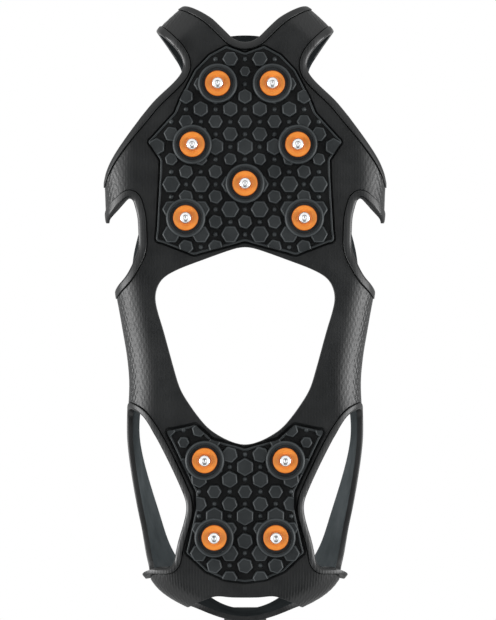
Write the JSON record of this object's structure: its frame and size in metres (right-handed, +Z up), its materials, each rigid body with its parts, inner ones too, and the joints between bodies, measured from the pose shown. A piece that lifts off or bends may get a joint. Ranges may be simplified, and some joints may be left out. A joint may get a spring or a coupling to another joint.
{
  "type": "slip-on ice cleat",
  "caption": "Stretch rubber overshoe harness with lugged tread pads and steel studs in orange collars, pulled over a shoe for grip on ice.",
  "frame": {"origin": "on the plane of the stud tips, under the middle of the part's length and width", "axes": "+Y towards the toe, +Z up through the sole to the foot opening, +X towards the wearer's right"},
  "size_m": [0.1168, 0.2635, 0.0761],
  "materials": {
    "rubber": "satin moulded rubber",
    "tread_rubber": "matt moulded rubber",
    "stud_steel": "polished hardened steel",
    "collar_plastic": "satin moulded plastic"
  },
  "bodies": {
    "forefoot": {"forefoot_web": "rubber", "forefoot_pad": "tread_rubber", "toe_cap": "rubber", "toe_strap_left": "rubber", "toe_strap_right": "rubber", "wing_left": "rubber", "wing_right": "rubber", "side_band_left": "rubber", "side_band_right": "rubber", "arm_left": "rubber", "arm_right": "rubber", "front_stud_1": "stud_steel", "front_stud_2": "stud_steel", "front_stud_3": "stud_steel", "front_stud_4": "stud_steel", "front_stud_5": "stud_steel", "front_stud_6": "stud_steel", "front_stud_7": "stud_steel", "front_collar_1": "collar_plastic", "front_collar_2": "collar_plastic", "front_collar_3": "collar_plastic", "front_collar_4": "collar_plastic", "front_collar_5": "collar_plastic", "front_collar_6": "collar_plastic", "front_collar_7": "collar_plastic"},
    "heel": {"heel_web": "rubber", "heel_pad": "tread_rubber", "heel_band": "rubber", "heel_corner_left": "rubber", "heel_corner_right": "rubber", "heel_stud_1": "stud_steel", "heel_stud_2": "stud_steel", "heel_stud_3": "stud_steel", "heel_stud_4": "stud_steel", "heel_collar_1": "collar_plastic", "heel_collar_2": "collar_plastic", "heel_collar_3": "collar_plastic", "heel_collar_4": "collar_plastic"},
    "pull_tab": {"pull_tab": "rubber"}
  },
  "joints": [
    {"name": "midfoot_flex", "type": "hinge", "parent": "forefoot", "child": "heel", "pos_m": [0, -0.01, 0.0085], "axis": [-1, 0, 0], "range_deg": [-10, 45], "stiffness_Nm_per_rad": 0.6, "deforming": ["arm_left", "arm_right"]},
    {"name": "tab_fold", "type": "hinge", "parent": "heel", "child": "pull_tab", "pos_m": [0, -0.1215, 0.0598], "axis": [1, 0, 0], "range_deg": [-35, 45], "stiffness_Nm_per_rad": 0.05}
  ]
}
